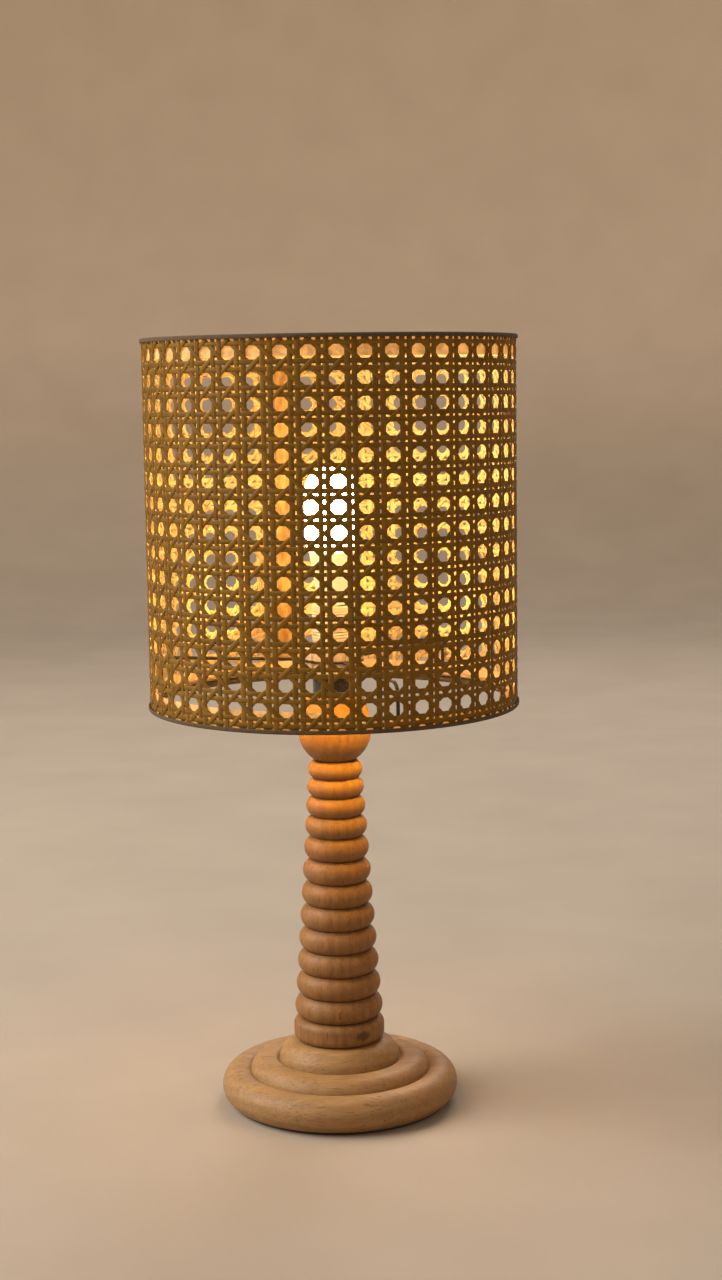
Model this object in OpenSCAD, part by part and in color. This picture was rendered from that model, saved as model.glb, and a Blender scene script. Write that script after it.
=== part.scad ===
// Table lamp: a turned wooden stand that carries an open cane drum shade and a stick bulb.
// Millimetres, +Z up. The origin is on the lamp's axis, on the surface that it stands on.

/* [Base] */
// Thickness of the felt pad
pad_t = 2; // [1:0.5:4]
// Distance from the edge of the base's underside to the edge of the pad
pad_inset = 1.5; // [0.5:0.5:8]
// Diameter of the base over its rim
base_d = 162; // [154:1:190]
// Radius of the base's round rim
rim_r = 12; // [11:0.5:14]
// Height of the rim's centre above the base's underside
rim_rise = 10.5; // [9:0.5:11]
// Diameter of the round middle tread
tread_d = 123; // [116:1:128]
// Height of the middle tread above the underside
tread_h = 29; // [27:0.5:32]
// Radius of the middle tread's round outer side
tread_edge_r = 10; // [8:0.5:11]
// Radius of the middle tread's round inner side
tread_inner_r = 4; // [3:0.5:5]
// Depth of the groove between the middle tread and the upper step
tread_groove = 2; // [1:0.2:2.6]
// Diameter of the upper step at its foot
step_d = 83; // [78:1:90]
// Radius of the upper step's quarter round
step_r = 14.4; // [12:0.2:18]
// Diameter of the recess in the underside
recess_d = 46; // [42:1:56]
// Depth of the recess in the underside
recess_h = 16; // [15:0.5:18]

/* [Cord outlet] */
// Diameter of the bore that the cord passes through
cord_bore_d = 7.2; // [5:0.1:7.6]
// Wall of the grommet
grommet_wall = 1.5; // [1:0.1:2]
// Length of the grommet inside its seat
grommet_l = 10; // [6:1:16]
// Diameter of the grommet's flange
grommet_flange_d = 13; // [12:0.5:14]
// Thickness of the grommet's flange
grommet_flange_t = 1.6; // [1:0.1:2]
// Height of the outlet above the base's underside
outlet_rise = 9; // [8:0.5:10]
// Depth of the grommet's flat seat below the rim's widest point
outlet_seat = 4; // [3.5:0.1:5]

/* [Column] */
// Diameter of the plain collar above the base
collar_d = 62; // [54:1:68]
// Height of the collar
collar_h = 15.7; // [12:0.1:20]
// Radius of the collar's rounded edges
collar_edge_r = 5; // [2:0.5:6]
// Number of turned beads above the collar
bead_n = 12; // [6:1:16]
// Number of lower beads that share the full bead height
bead_full_n = 8; // [2:1:10]
// Diameter of the lowest bead
bead_low_d = 60.2; // [52:0.2:66]
// Diameter of the top bead
bead_top_d = 37; // [34:0.2:46]
// Curve of the taper from the lowest bead to the top one, 1 being straight
bead_taper = 1.15; // [0.8:0.05:1.5]
// Height of a full bead
bead_h = 15.8; // [12:0.1:18]
// Height of the top bead
bead_top_h = 11.8; // [9:0.1:15]
// Depth of the groove between two full beads
groove_depth = 5; // [3:0.1:6]
// Diameter of the tenon under the column
tenon_d = 30; // [26:1:36]
// Length of the tenon under the column
tenon_l = 8; // [5:0.5:12]

/* [Cup] */
// Widest diameter of the cup
cup_d = 49.5; // [47:0.5:56]
// Diameter of the cup's foot
cup_foot_d = 25; // [24:0.5:34]
// Diameter of the cup's lip
cup_lip_d = 37.4; // [36:0.2:44]
// Height of the cup
cup_h = 44.5; // [38:0.5:46]
// Height of the widest level above the foot
cup_belly_h = 20.5; // [18:0.5:24]
// Depth of the dish in the cup
dish_h = 16; // [12:0.5:20]
// Diameter of the tenon under the cup
cup_tenon_d = 20; // [16:1:22]
// Length of the tenon under the cup
cup_tenon_l = 7; // [4:0.5:9]

/* [Rod and nuts] */
// Diameter of the hollow threaded rod
rod_d = 10; // [9:0.5:10]
// Bore of the hollow threaded rod
rod_bore_d = 7.4; // [6:0.1:7.6]
// Width of a nut across its flats
nut_af = 17; // [15:0.5:19]
// Height of a nut
nut_h = 5; // [3:0.5:6]
// Diameter of the washer under the base
washer_d = 36; // [28:1:40]
// Thickness of the washer under the base
washer_t = 2; // [1:0.5:3]
// Length of rod below the lower nut
rod_end_l = 2; // [1:0.5:3]

/* [Lampholder] */
// Outer diameter of the lampholder
holder_d = 28.6; // [28:0.2:30]
// Wall of the lampholder's cap and skirt
holder_wall = 2; // [1.6:0.1:2.4]
// Height of the lampholder's cap
cap_h = 26; // [22:0.5:30]
// Diameter of the cap's threaded socket
cap_socket_d = 14; // [13:0.5:16]
// Depth of the cap's threaded socket
cap_socket_l = 10; // [8:0.5:12]
// Radius of the cap's rounded lower edge
cap_edge_r = 4; // [2.5:0.5:5]
// Thickness of the lip at the skirt's mouth
lip_t = 2.5; // [1.5:0.1:4]
// Thickness of the insert's clamped flange
insert_flange_t = 3; // [2:0.5:4]
// Height of the insert above its flange
insert_h = 14; // [10:0.5:16]
// Height of the boss that centres the screw shell
boss_h = 3; // [2:0.5:4]
// Wall of the screw shell
shell_t = 0.5; // [0.4:0.1:0.8]
// Height of the spring contact
contact_h = 4; // [3:0.2:5]
// Thickness of the contact's strip
contact_t = 0.6; // [0.4:0.1:0.8]
// Width of the contact's strip
contact_w = 4; // [3:0.5:5]
// Reach of the contact's strip from the axis
contact_reach = 5.5; // [4:0.5:6]
// Reach of the contact's sloping middle from the axis
contact_bend = 2; // [1.5:0.5:3]
// Distance of each terminal screw from the axis
terminal_r = 8; // [7:0.5:8.5]
// Diameter of a terminal screw's shank
terminal_d = 3; // [2.5:0.1:3.5]
// Diameter of a terminal screw's head
terminal_head_d = 5.5; // [5:0.1:6]
// Height of a terminal screw's head
terminal_head_h = 2; // [1.5:0.1:2.5]
// Length of a terminal screw's shank
terminal_l = 7; // [5:0.5:9]

/* [Shade rings] */
// Diameter of a shade ring
ring_d = 39; // [37:0.5:40]
// Height of a shade ring
ring_h = 7; // [5:0.5:9]
// Height of the lower ring above the foot of the skirt
ring_rise = 1.5; // [0.5:0.5:6]
// Number of finger notches round a ring
notch_n = 16; // [8:1:20]
// Radius of a finger notch
notch_r = 1.3; // [0.8:0.1:1.6]

/* [Shade frame] */
// Diameter of the fitter's collar
fitter_d = 41; // [40.5:0.5:46]
// Thickness of the fitter's collar
fitter_t = 1.6; // [1.2:0.1:3]
// Number of spokes
spoke_n = 3; // [3:1:5]
// Diameter of the spoke wire
spoke_d = 2.4; // [1.8:0.1:3.2]
// Radius of the bend where a spoke turns down, to the middle of the wire
spoke_bend_r = 8; // [5:0.5:10]
// Direction of the first spoke, in degrees from +X
spoke_turn = 50; // [0:5:115]
// Diameter of the hoop wire
hoop_wire_d = 3; // [2.4:0.1:4]
// Height of the fitter's collar above the shade's lower edge
fitter_rise = 29.5; // [22:0.5:45]

/* [Shade] */
// Diameter of the drum shade
shade_d = 250; // [220:1:300]
// Height of the drum shade
shade_h = 246; // [210:1:300]
// Thickness of the cane webbing
web_t = 1.6; // [1.2:0.1:2.4]
// Number of openings round the webbing
opening_n = 22; // [12:1:24]
// Number of rows of openings in the webbing
opening_rows = 6; // [3:1:7]
// Width of an opening in the webbing
opening_w = 20; // [12:1:24]
// Height of an opening in the webbing
opening_h = 20; // [12:1:22]
// Thickness of the edge trims
trim_t = 0.8; // [0.6:0.1:1.2]
// Height of the edge trims on the outside
trim_h = 2.8; // [2.2:0.2:8]
// Height of the edge trims on the inside
trim_inner_h = 4; // [2:0.5:5]
// Thickness of the pale lining strips inside the edges
lining_t = 0.5; // [0.4:0.1:1]
// Height of the pale lining strips
lining_h = 13; // [10:0.5:20]

/* [Bulb] */
// Diameter of the bulb's globe
globe_d = 36; // [34:0.5:37]
// Height of the bulb's globe
globe_h = 58; // [50:1:70]
// Wall of the bulb's globe
globe_t = 1.2; // [0.8:0.1:1.6]
// Diameter of the globe's mouth
globe_mouth_d = 31; // [28:0.5:32]
// Height of the bulb's housing
housing_h = 35; // [30:0.5:45]
// Diameter of the housing above the screw cap
housing_foot_d = 19; // [17:0.5:22]
// Wall of the bulb's housing
housing_t = 1.5; // [1:0.1:2]
// Outer diameter of the bulb's screw cap
thread_d = 13.9; // [13.6:0.1:14.2]
// Height of the bulb's screw cap
thread_h = 18; // [16:0.5:20]
// Wall of the bulb's screw cap
thread_t = 0.4; // [0.3:0.1:0.6]
// Height of the black insulator under the screw cap
insulator_h = 3; // [2:0.5:4]
// Diameter of the insulator's lower end
insulator_foot_d = 8; // [7:0.5:10]
// Diameter of the bulb's tip contact
tip_d = 5; // [4:0.5:6.5]
// Height of the bulb's tip contact
tip_h = 1.6; // [1:0.1:2.5]
// Thickness of the lamp's light board
board_t = 1.6; // [1:0.1:2]

/* [Clearances] */
// Radial clearance of a thread, a pin or a running ring
fit_gap = 0.05; // [0.03:0.01:0.09]
// Radial clearance of a tenon or a rod in wood
wood_gap = 0.2; // [0.1:0.05:0.4]
// Clearance between a glued or moulded piece and its seat
seat_gap = 0.1; // [0.05:0.05:0.2]
// Clearance between pieces that move past each other
move_gap = 0.4; // [0.3:0.05:0.6]

/* [Hidden] */
$fn = 96;

// Room that a cutting shape runs past the face that it cuts
cut = 1;

// Levels of the stand
base_z = pad_t;
rim_z = base_z + rim_rise;
tread_z = base_z + tread_h;
step_z = tread_z - tread_groove;
column_z = step_z + step_r;
beads_z = column_z + collar_h;

// Beads, counted from the lowest one
function bead_height(i) =
    i < bead_full_n
        ? bead_h
        : bead_h + (bead_top_h - bead_h) * (i - bead_full_n + 2) / (bead_n - bead_full_n + 1);
function bead_level(i) = i == 0 ? beads_z : bead_level(i - 1) + bead_height(i - 1);
function bead_radius(i) =
    (bead_top_d + (bead_low_d - bead_top_d) * pow((bead_n - 1 - i) / (bead_n - 1), bead_taper)) / 2;
function bead_depth(i) = groove_depth * bead_height(i) / bead_h;
function arc_radius(half_chord, rise) = (half_chord * half_chord + rise * rise) / (2 * rise);

// Levels of the cup and the lampholder
cup_z = bead_level(bead_n);
belly_z = cup_z + cup_belly_h;
dish_z = cup_z + cup_h - dish_h;
cap_z = dish_z + nut_h;
skirt_z = cap_z + cap_h;
insert_top_z = skirt_z + insert_flange_t + insert_h;
contact_z = insert_top_z + boss_h;
contact_top_z = contact_z + contact_h;

// Levels of the shade
ring_z = skirt_z + ring_rise;
fitter_z = ring_z + ring_h;
shade_z = fitter_z - fitter_rise;
shade_top_z = shade_z + shade_h;

// Levels of the bulb
tip_z = contact_top_z + move_gap;
insulator_z = tip_z + tip_h;
thread_z = insulator_z + insulator_h;
housing_z = thread_z + thread_h;
globe_z = housing_z + housing_h;

// Mouth of the lampholder, just under the bulb's housing
skirt_top_z = housing_z - 2 * move_gap;
skirt_h = skirt_top_z - skirt_z;

// Radii of the base
base_r = base_d / 2;
rim_centre_r = base_r - rim_r;
underside_r = rim_centre_r + sqrt(rim_r * rim_r - rim_rise * rim_rise);
pad_r = underside_r - pad_inset;
tread_edge_centre_r = tread_d / 2 - tread_edge_r;
tread_inner_centre_r = step_d / 2 + tread_inner_r;
step_centre_r = step_d / 2 - step_r;

// Radii of the stand's bores and of the lampholder
rod_r = rod_d / 2;
rod_hole_r = rod_r + wood_gap;
nut_hole_r = rod_r + fit_gap;
outlet_r = cord_bore_d / 2 + grommet_wall;
holder_r = holder_d / 2;
dish_r = holder_r + 2 * wood_gap;
holder_bore_r = holder_r - holder_wall;
flange_r = holder_bore_r + holder_wall / 2;
shell_bore_r = thread_d / 2 + move_gap;
shell_r = shell_bore_r + shell_t;
boss_r = shell_bore_r - fit_gap;
ring_bore_r = holder_r + fit_gap;

// Radii of the shade
shade_r = shade_d / 2;
web_r = shade_r - trim_t - seat_gap;
web_bore_r = web_r - web_t;
lining_r = web_bore_r - seat_gap;
lining_bore_r = lining_r - lining_t;
trim_bore_r = lining_bore_r - seat_gap - trim_t;
hoop_wire_r = hoop_wire_d / 2;
hoop_r = lining_bore_r - seat_gap - hoop_wire_r;
web_edge = trim_t + seat_gap;
hoop_inset = trim_t + trim_inner_h + seat_gap + hoop_wire_r;
bottom_hoop_z = shade_z + hoop_inset;
top_hoop_z = shade_top_z - hoop_inset;
spoke_z = fitter_z + fitter_t / 2;

// Radii of the bulb
globe_r = globe_d / 2;
globe_mouth_r = globe_mouth_d / 2;
globe_low_z = globe_z + sqrt(globe_r * globe_r - globe_mouth_r * globe_mouth_r);
globe_high_z = globe_z + globe_h - globe_r;

// Colours
beech = [0.74, 0.54, 0.34];
felt = [0.16, 0.14, 0.12];
steel = [0.72, 0.72, 0.70];
brass = [0.80, 0.64, 0.32];
phenolic = [0.09, 0.07, 0.06];
ceramic = [0.90, 0.88, 0.83];
wire = [0.20, 0.17, 0.14];
cane = [0.47, 0.37, 0.21];
trim = [0.29, 0.22, 0.15];
opal = [0.98, 0.93, 0.80];
white = [0.93, 0.93, 0.91];

// A tube standing on a level
module tube(r_out, r_in, h) {
    difference() {
        cylinder(r = r_out, h = h);
        translate([0, 0, -cut]) cylinder(r = r_in, h = h + 2 * cut);
    }
}

// A hexagon nut standing on a level
module nut() {
    difference() {
        cylinder(d = nut_af / cos(30), h = nut_h, $fn = 6);
        translate([0, 0, -cut]) cylinder(r = nut_hole_r, h = nut_h + 2 * cut);
    }
}

// A flat rectangle in the half plane of a turned profile
module band(r_in, r_out, z_low, z_high) {
    translate([r_in, z_low]) square([r_out - r_in, z_high - z_low]);
}

// Felt disc glued under the base
module felt_pad() {
    color(felt) cylinder(r = pad_r, h = pad_t);
}

// Room turned away between the middle tread's inner side and the step
module groove_profile() {
    difference() {
        band(0, tread_inner_centre_r, step_z, tread_z + cut);
        translate([tread_inner_centre_r, tread_z - tread_inner_r]) circle(r = tread_inner_r);
    }
}

// Outline of the base: round rim, round middle tread, and a quarter-round step behind a groove
module base_profile() {
    difference() {
        union() {
            intersection() {
                translate([rim_centre_r, rim_z]) circle(r = rim_r);
                band(tread_edge_centre_r, base_r + cut, base_z, rim_z + rim_r);
            }
            band(0, rim_centre_r, base_z, rim_z);
            band(0, tread_d / 2, base_z, tread_z - tread_edge_r);
            band(0, tread_edge_centre_r, base_z, tread_z);
            translate([tread_edge_centre_r, tread_z - tread_edge_r]) circle(r = tread_edge_r);
        }
        groove_profile();
    }
    intersection() {
        translate([step_centre_r, step_z]) circle(r = step_r);
        band(step_centre_r, step_d / 2 + cut, step_z, column_z);
    }
    band(0, step_centre_r, base_z, column_z);
}

// Turned base, with the recess for the nut and a bored channel to the back
module base() {
    color(beech) difference() {
        rotate_extrude() base_profile();
        translate([0, 0, base_z - cut]) cylinder(d = recess_d, h = recess_h + cut);
        translate([0, 0, base_z]) cylinder(r = rod_hole_r, h = column_z);
        translate([0, 0, column_z - tenon_l - wood_gap])
            cylinder(r = tenon_d / 2 + wood_gap, h = tenon_l + wood_gap + cut);
        translate([0, 0, base_z + outlet_rise]) rotate([-90, 0, 0]) {
            cylinder(r = outlet_r + seat_gap, h = base_r + cut);
            translate([0, 0, base_r - outlet_seat])
                cylinder(r = grommet_flange_d / 2 + seat_gap, h = outlet_seat + cut);
        }
    }
}

// Flanged bush that lines the cord outlet at the back of the base
module cord_grommet() {
    color(phenolic) translate([0, base_r - outlet_seat, base_z + outlet_rise]) rotate([-90, 0, 0])
        difference() {
            union() {
                translate([0, 0, -grommet_l]) cylinder(r = outlet_r, h = grommet_l);
                cylinder(d = grommet_flange_d, h = grommet_flange_t);
            }
            translate([0, 0, -grommet_l - cut])
                cylinder(d = cord_bore_d, h = grommet_l + grommet_flange_t + 2 * cut);
        }
}

// Washer against the roof of the recess
module base_washer() {
    color(steel) translate([0, 0, base_z + recess_h - washer_t])
        tube(washer_d / 2, nut_hole_r, washer_t);
}

// Nut that draws the rod down
module base_nut() {
    color(steel) translate([0, 0, base_z + recess_h - washer_t - nut_h]) nut();
}

// Hollow threaded rod from the recess to the lampholder's cap
module lamp_rod() {
    rod_z = base_z + recess_h - washer_t - nut_h - rod_end_l;
    color(brass) translate([0, 0, rod_z]) tube(rod_r, rod_bore_d / 2, cap_z + cap_socket_l - rod_z);
}

// Outline of one bead: an arc that bulges from the bottom of one groove to the next
module bead_profile(i) {
    low = bead_level(i);
    high = low + bead_height(i);
    arc_r = arc_radius(bead_height(i) / 2, bead_depth(i));
    core_r = bead_radius(i) - bead_depth(i);
    band(0, core_r, low, high);
    intersection() {
        translate([bead_radius(i) - arc_r, (low + high) / 2]) circle(r = arc_r);
        band(core_r, bead_radius(i) + cut, low, high);
    }
}

// Outline of the collar with both edges rounded
module collar_profile() {
    edge_centre_r = collar_d / 2 - collar_edge_r;
    band(0, collar_d / 2, column_z + collar_edge_r, beads_z - collar_edge_r);
    band(0, edge_centre_r, column_z, beads_z);
    for (z = [column_z + collar_edge_r, beads_z - collar_edge_r])
        translate([edge_centre_r, z]) circle(r = collar_edge_r);
}

// Turned column: tenon, collar and a stack of tapering beads
module column() {
    color(beech) difference() {
        rotate_extrude() {
            band(0, tenon_d / 2, column_z - tenon_l, column_z);
            collar_profile();
            for (i = [0 : bead_n - 1]) bead_profile(i);
        }
        translate([0, 0, column_z - tenon_l - cut]) cylinder(r = rod_hole_r, h = cup_z);
        translate([0, 0, cup_z - cup_tenon_l - wood_gap])
            cylinder(r = cup_tenon_d / 2 + wood_gap, h = cup_tenon_l + wood_gap + cut);
    }
}

// Outline of the cup's bowl or of its neck: an arc from the widest level to an end of another diameter
module cup_half(end_d, low, high) {
    arc_r = arc_radius(high - low, (cup_d - end_d) / 2);
    intersection() {
        translate([cup_d / 2 - arc_r, belly_z]) circle(r = arc_r);
        band(0, cup_d, low, high);
    }
}

// Turned cup with a tenon below and a dish that takes the foot of the lampholder
module holder_cup() {
    color(beech) difference() {
        rotate_extrude() {
            band(0, cup_tenon_d / 2, cup_z - cup_tenon_l, cup_z);
            cup_half(cup_foot_d, cup_z, belly_z);
            cup_half(cup_lip_d, belly_z, cup_z + cup_h);
        }
        translate([0, 0, cup_z - cup_tenon_l - cut])
            cylinder(r = rod_hole_r, h = cup_tenon_l + cup_h + 2 * cut);
        translate([0, 0, dish_z]) cylinder(r = dish_r, h = dish_h + cut);
    }
}

// Nut that clamps the cup, the column and the base together
module cup_nut() {
    color(brass) translate([0, 0, dish_z]) nut();
}

// Cap of the lampholder, with a threaded socket for the rod
module holder_cap() {
    color(phenolic) translate([0, 0, cap_z]) difference() {
        rotate_extrude() difference() {
            union() {
                band(0, holder_r, cap_edge_r, cap_h);
                band(0, holder_r - cap_edge_r, 0, cap_h);
                translate([holder_r - cap_edge_r, cap_edge_r]) intersection() {
                    circle(r = cap_edge_r);
                    band(0, cap_edge_r, -cap_edge_r, 0);
                }
            }
            band(cap_socket_d / 2, holder_bore_r, cap_edge_r, cap_h + cut);
            band(cap_socket_d / 2, holder_r - cap_edge_r, holder_wall, cap_h);
            band(0, cap_socket_d / 2 + cut, cap_socket_l, cap_h + cut);
        }
        translate([0, 0, -cut]) cylinder(r = nut_hole_r, h = cap_h);
    }
}

// Ceramic insert clamped between the cap and the skirt
module holder_insert() {
    color(ceramic) difference() {
        translate([0, 0, skirt_z]) union() {
            cylinder(r = flange_r - seat_gap, h = insert_flange_t);
            cylinder(r = holder_bore_r - seat_gap, h = insert_flange_t + insert_h);
            cylinder(r = boss_r, h = insert_flange_t + insert_h + boss_h);
        }
        for (side = [-1, 1])
            translate([side * terminal_r, 0, skirt_z - cut])
                cylinder(d = terminal_d + 2 * fit_gap, h = terminal_l + cut);
    }
}

// Bent spring strip that meets the bulb's tip
module centre_contact() {
    tongue_h = contact_h - contact_t;
    color(brass) translate([0, contact_w / 2, contact_z]) rotate([90, 0, 0])
        linear_extrude(height = contact_w) polygon([
            [-contact_reach, 0], [-contact_bend, 0], [contact_bend, tongue_h], [contact_reach, tongue_h],
            [contact_reach, contact_h], [contact_bend, contact_h], [-contact_bend, contact_t],
            [-contact_reach, contact_t]
        ]);
}

// Two terminal screws under the insert
module terminal_screws() {
    color(brass) for (side = [-1, 1]) translate([side * terminal_r, 0, skirt_z]) {
        translate([0, 0, -terminal_head_h]) cylinder(d = terminal_head_d, h = terminal_head_h);
        cylinder(d = terminal_d, h = terminal_l - seat_gap);
    }
}

// Metal shell that takes the bulb's screw cap
module screw_shell() {
    color(brass) translate([0, 0, insert_top_z])
        tube(shell_r, shell_bore_r, skirt_top_z - lip_t - seat_gap - insert_top_z);
}

// Skirt of the lampholder, threaded outside for the shade rings
module holder_skirt() {
    color(white) translate([0, 0, skirt_z]) difference() {
        cylinder(r = holder_r, h = skirt_h);
        translate([0, 0, -cut]) cylinder(r = flange_r, h = insert_flange_t + cut);
        translate([0, 0, -cut]) cylinder(r = holder_bore_r, h = skirt_h - lip_t + cut);
        cylinder(r = shell_bore_r, h = skirt_h + cut);
    }
}

// A ring with finger notches that turns on the skirt's thread
module shade_ring() {
    difference() {
        tube(ring_d / 2, ring_bore_r, ring_h);
        for (i = [0 : notch_n - 1]) rotate(i * 360 / notch_n)
            translate([ring_d / 2, 0, -cut]) cylinder(r = notch_r, h = ring_h + 2 * cut);
    }
}

// Ring that the shade rests on
module shade_ring_lower() {
    color(white) translate([0, 0, ring_z]) shade_ring();
}

// Ring that holds the shade down
module shade_ring_upper() {
    color(white) translate([0, 0, fitter_z + fitter_t]) shade_ring();
}

// Flat steel collar between the two shade rings
module fitter_collar() {
    color(wire) translate([0, 0, fitter_z]) tube(fitter_d / 2, holder_r + move_gap, fitter_t);
}

// A wire hoop at a level
module hoop(z, wire_r) {
    translate([0, 0, z]) rotate_extrude() translate([hoop_r, 0]) circle(r = wire_r);
}

// One wire that runs out from the collar, bends down and lands on the bottom hoop. Its two straight
// runs are drawn from the ends of the bend, so that they meet it whatever the sizes are.
module spoke() {
    bend_start_r = hoop_r - spoke_bend_r;
    bend_z = spoke_z - spoke_bend_r;
    arm_l = bend_start_r - fitter_d / 2 + spoke_d;
    difference() {
        translate([bend_start_r, 0, bend_z]) rotate([90, 0, 0]) {
            rotate_extrude(angle = 90) translate([spoke_bend_r, 0]) circle(d = spoke_d);
            translate([0, spoke_bend_r, 0]) rotate([90, 0, 90])
                translate([0, 0, -arm_l]) cylinder(d = spoke_d, h = arm_l);
            translate([spoke_bend_r, 0, 0]) rotate([90, 0, 0])
                cylinder(d = spoke_d, h = bend_z - bottom_hoop_z);
        }
        translate([0, 0, spoke_z - spoke_d]) cylinder(r = fitter_d / 2 + fit_gap, h = 2 * spoke_d);
        hoop(bottom_hoop_z, hoop_wire_r + fit_gap);
    }
}

// Wires between the collar and the bottom hoop
module fitter_spokes() {
    color(wire) for (i = [0 : spoke_n - 1]) rotate(spoke_turn + i * 360 / spoke_n) spoke();
}

// Wire hoop inside the lower edge
module bottom_hoop() {
    color(wire) hoop(bottom_hoop_z, hoop_wire_r);
}

// Wire hoop inside the upper edge
module top_hoop() {
    color(wire) hoop(top_hoop_z, hoop_wire_r);
}

// Strip inside the lower edge, between the webbing and the hoop
module bottom_lining() {
    color(white) translate([0, 0, shade_z + web_edge]) tube(lining_r, lining_bore_r, lining_h);
}

// Strip inside the upper edge, between the webbing and the hoop
module top_lining() {
    color(white) translate([0, 0, shade_top_z - web_edge - lining_h])
        tube(lining_r, lining_bore_r, lining_h);
}

// Cane webbing rolled into a drum, open in a plain grid between the two linings
module cane_webbing() {
    row_h = (shade_h - 2 * web_edge - 2 * lining_h) / opening_rows;
    first_z = shade_z + web_edge + lining_h + (row_h - opening_h) / 2;
    color(cane) difference() {
        translate([0, 0, shade_z + web_edge]) tube(web_r, web_bore_r, shade_h - 2 * web_edge);
        for (row = [0 : opening_rows - 1], column = [0 : opening_n - 1])
            rotate(column * 360 / opening_n)
                translate([web_bore_r - cut, -opening_w / 2, first_z + row * row_h])
                    cube([web_t + 2 * cut, opening_w, opening_h]);
    }
}

// Outline of a trim folded over an edge, drawn for the lower edge at height 0
module trim_profile() {
    band(trim_bore_r, shade_r, 0, trim_t);
    band(shade_r - trim_t, shade_r, 0, trim_h);
    band(trim_bore_r, trim_bore_r + trim_t, 0, trim_t + trim_inner_h);
}

// Trim folded over the lower edge
module bottom_trim() {
    color(trim) translate([0, 0, shade_z]) rotate_extrude() trim_profile();
}

// Trim folded over the upper edge
module top_trim() {
    color(trim) translate([0, 0, shade_top_z]) mirror([0, 0, 1]) rotate_extrude() trim_profile();
}

// Outline of a pill between two levels, as half of its section
module pill_profile(r) {
    band(0, r, globe_low_z, globe_high_z);
    intersection() {
        union() {
            translate([0, globe_low_z]) circle(r = r);
            translate([0, globe_high_z]) circle(r = r);
        }
        band(0, globe_r, globe_z, globe_z + globe_h);
    }
}

// Opal globe of the bulb
module bulb_globe() {
    color(opal) rotate_extrude() difference() {
        pill_profile(globe_r);
        pill_profile(globe_r - globe_t);
    }
}

// Tapered housing between the globe and the screw cap
module bulb_housing() {
    color(white) translate([0, 0, housing_z]) difference() {
        cylinder(r1 = housing_foot_d / 2, r2 = globe_mouth_r, h = housing_h);
        translate([0, 0, housing_t])
            cylinder(r1 = housing_foot_d / 2 - housing_t, r2 = globe_mouth_r - housing_t,
                     h = housing_h - 2 * housing_t);
    }
}

// Round board that carries the light sources
module led_board() {
    inner_mouth_r = sqrt(pow(globe_r - globe_t, 2) - pow(globe_low_z - globe_z, 2));
    color(white) translate([0, 0, globe_z]) cylinder(r = inner_mouth_r - move_gap, h = board_t);
}

// Metal screw cap of the bulb
module bulb_screw_cap() {
    color(steel) translate([0, 0, thread_z]) difference() {
        cylinder(d = thread_d, h = thread_h);
        translate([0, 0, thread_t]) cylinder(d = thread_d - 2 * thread_t, h = thread_h - 2 * thread_t);
    }
}

// Black insulator between the screw cap and the tip
module bulb_insulator() {
    color(phenolic) translate([0, 0, insulator_z])
        cylinder(d1 = insulator_foot_d, d2 = thread_d - 2 * thread_t, h = insulator_h);
}

// Tip contact of the bulb
module bulb_tip() {
    color(brass) translate([0, 0, tip_z]) cylinder(d = tip_d, h = tip_h);
}

felt_pad();
base();
cord_grommet();
base_washer();
base_nut();
lamp_rod();
column();
holder_cup();
cup_nut();
holder_cap();
holder_insert();
centre_contact();
terminal_screws();
screw_shell();
holder_skirt();
shade_ring_lower();
shade_ring_upper();
fitter_collar();
fitter_spokes();
bottom_hoop();
top_hoop();
bottom_lining();
top_lining();
cane_webbing();
bottom_trim();
top_trim();
bulb_globe();
bulb_housing();
led_board();
bulb_screw_cap();
bulb_insulator();
bulb_tip();
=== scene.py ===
"""Looks of a table lamp: a turned beech stand, an open cane drum shade and a lit opal bulb."""
import math

import bpy
import numpy as np
from mathutils import Matrix, Vector


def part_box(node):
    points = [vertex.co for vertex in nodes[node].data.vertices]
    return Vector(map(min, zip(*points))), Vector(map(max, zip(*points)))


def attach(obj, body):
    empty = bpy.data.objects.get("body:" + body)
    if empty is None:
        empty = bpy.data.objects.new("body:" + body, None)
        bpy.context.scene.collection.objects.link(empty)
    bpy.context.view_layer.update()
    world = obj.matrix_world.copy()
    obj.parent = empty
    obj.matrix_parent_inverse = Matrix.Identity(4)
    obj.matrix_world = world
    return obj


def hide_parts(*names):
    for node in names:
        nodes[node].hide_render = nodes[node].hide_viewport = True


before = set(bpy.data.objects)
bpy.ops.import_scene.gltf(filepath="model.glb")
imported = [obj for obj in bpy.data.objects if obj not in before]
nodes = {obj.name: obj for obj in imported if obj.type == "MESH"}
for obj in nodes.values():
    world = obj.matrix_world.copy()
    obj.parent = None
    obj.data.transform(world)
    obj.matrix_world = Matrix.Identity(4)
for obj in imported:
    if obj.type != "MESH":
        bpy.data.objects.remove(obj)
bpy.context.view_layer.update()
rng = np.random.default_rng(11)
MM = 0.001

# Camera: the photograph's size and focal length in pixels, and where it stood
PHOTO_SIZE = (722, 1280)
FOCAL_PX = 2058
CAMERA_AT = (0.0187, -1.377, 0.4939)
CAMERA_PITCH = math.radians(7.23)
CAMERA_ROLL = math.radians(0.8)
SENSOR = 36.0

# Cane webbing: a panel of columns and rows of holes, rolled up and joined at a seam. The first
# row's height is above the shade's lower edge, and at the back the rows lie lower by their drop.
COLUMNS = 44
ROWS = 15
COLUMN_TURN = math.radians(8.09)
ROW_PITCH = 15.71 * MM
FIRST_ROW = 14.9 * MM
ROW_DROP = 3.0 * MM

# The column of holes nearest to the front, counted from the seam, and its direction
FRONT_COLUMN = 21
FRONT_TURN = math.radians(2.9)

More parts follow.
